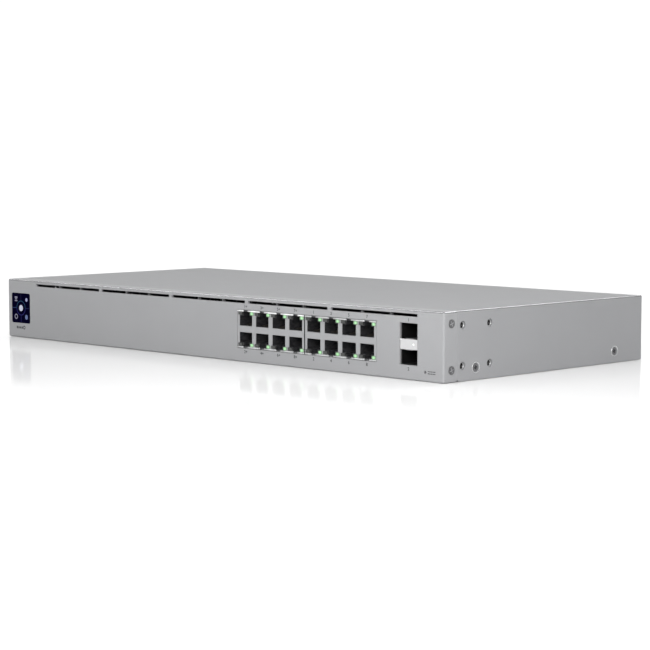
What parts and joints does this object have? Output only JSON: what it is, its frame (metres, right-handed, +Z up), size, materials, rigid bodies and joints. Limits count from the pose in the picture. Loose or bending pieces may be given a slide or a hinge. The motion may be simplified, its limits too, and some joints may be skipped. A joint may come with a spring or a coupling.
{
  "type": "network switch",
  "caption": "Slim rack-height metal network switch: two rows of RJ45 sockets, stacked SFP bays, small touch screen, vent slots, pinhole reset and a rear mains inlet.",
  "frame": {"origin": "bottom centre of the case, on the surface that it lies on", "axes": "+X to the right seen from the front, +Y from the front bezel to the rear wall, +Z up"},
  "size_m": [0.4424, 0.2, 0.0437],
  "materials": {
    "case_paint": "satin",
    "socket_shield": "satin",
    "cage_steel": "gloss",
    "inner_steel": "satin",
    "screen_glass": "gloss",
    "black_plastic": "satin",
    "contact_gold": "gloss",
    "light_pipe": "gloss",
    "screw_steel": "satin",
    "circuit_board": "satin",
    "chip_epoxy": "matte",
    "heat_sink_aluminium": "satin",
    "wound_part": "satin",
    "amber_film": "satin",
    "wire": "satin"
  },
  "bodies": {
    "chassis": {"base_tray": "case_paint", "bezel_screw_left_lower": "screw_steel", "bezel_screw_left_upper": "screw_steel", "bezel_screw_right_lower": "screw_steel", "bezel_screw_right_upper": "screw_steel", "board_support_1": "black_plastic", "board_support_2": "black_plastic", "board_support_3": "black_plastic", "board_support_4": "black_plastic", "board_support_5": "black_plastic", "board_support_6": "black_plastic", "board_support_7": "black_plastic", "board_support_8": "black_plastic", "cover_screw_left_front": "screw_steel", "cover_screw_left_rear": "screw_steel", "cover_screw_right_front": "screw_steel", "cover_screw_right_rear": "screw_steel", "dc_harness": "wire", "front_bezel": "case_paint", "ground_screw": "screw_steel", "inlet_pin_earth": "cage_steel", "inlet_pin_live": "cage_steel", "inlet_pin_neutral": "cage_steel", "input_capacitor": "chip_epoxy", "insulating_sheet": "amber_film", "jack_contacts_left_lower": "contact_gold", "jack_contacts_left_upper": "contact_gold", "jack_contacts_right_lower": "contact_gold", "jack_contacts_right_upper": "contact_gold", "jack_housing_left": "black_plastic", "jack_housing_right": "black_plastic", "jack_shield_left": "socket_shield", "jack_shield_right": "socket_shield", "light_pipes_left_lower": "light_pipe", "light_pipes_left_upper": "light_pipe", "light_pipes_right_lower": "light_pipe", "light_pipes_right_upper": "light_pipe", "line_choke": "wound_part", "main_board": "circuit_board", "mains_inlet": "black_plastic", "memory_chip": "chip_epoxy", "output_capacitor": "chip_epoxy", "power_board": "circuit_board", "power_heat_sink": "heat_sink_aluminium", "processor_chip": "chip_epoxy", "reset_switch": "black_plastic", "screen_bracket": "inner_steel", "screen_glass": "screen_glass", "screen_module": "black_plastic", "screen_ribbon": "amber_film", "sfp_cage": "cage_steel", "sfp_connector_lower": "black_plastic", "sfp_connector_upper": "black_plastic", "switch_chip": "chip_epoxy", "switch_heat_sink": "heat_sink_aluminium", "top_cover": "case_paint", "transformer": "chip_epoxy"},
    "reset_button": {"reset_button": "black_plastic"},
    "sfp_latch_upper": {"sfp_latch_upper": "cage_steel"},
    "sfp_latch_lower": {"sfp_latch_lower": "cage_steel"}
  },
  "joints": [
    {"name": "reset_press", "type": "slide", "parent": "chassis", "child": "reset_button", "axis": [0, 1, 0], "range_m": [0, 0.0003], "stiffness_N_per_m": 500, "springref_m": -0.0003},
    {"name": "sfp_latch_upper_flex", "type": "hinge", "parent": "chassis", "child": "sfp_latch_upper", "pos_m": [0.1922, -0.0872, 0.02515], "axis": [1, 0, 0], "range_deg": [0, 5], "stiffness_Nm_per_rad": 0.02, "springref_deg": -2.86},
    {"name": "sfp_latch_lower_flex", "type": "hinge", "parent": "chassis", "child": "sfp_latch_lower", "pos_m": [0.1922, -0.0872, 0.01905], "axis": [-1, 0, 0], "range_deg": [0, 5], "stiffness_Nm_per_rad": 0.02, "springref_deg": -2.86}
  ]
}
